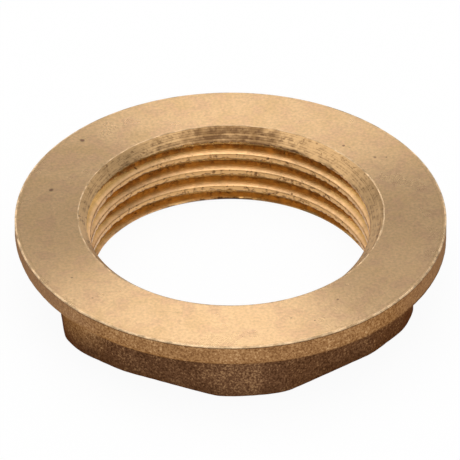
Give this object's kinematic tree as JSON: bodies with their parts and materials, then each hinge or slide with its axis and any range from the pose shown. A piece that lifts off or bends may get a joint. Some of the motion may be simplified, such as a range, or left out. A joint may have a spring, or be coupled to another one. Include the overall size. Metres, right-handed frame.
{
  "type": "flanged locknut",
  "caption": "Cast brass locknut: a round sealing flange on a low hexagonal body, with a right-hand internal thread and a countersunk lead-in at the flange face.",
  "frame": {"origin": "on the thread axis, in the plane of the hexagon's bottom face", "axes": "+Z along the thread axis, out through the flange; two of the hexagon's flats are square to X"},
  "size_m": [0.046, 0.046, 0.0088],
  "materials": {
    "brass": "satin turned face, as-cast sides"
  },
  "bodies": {
    "root": {"locknut": "brass"}
  },
  "joints": []
}
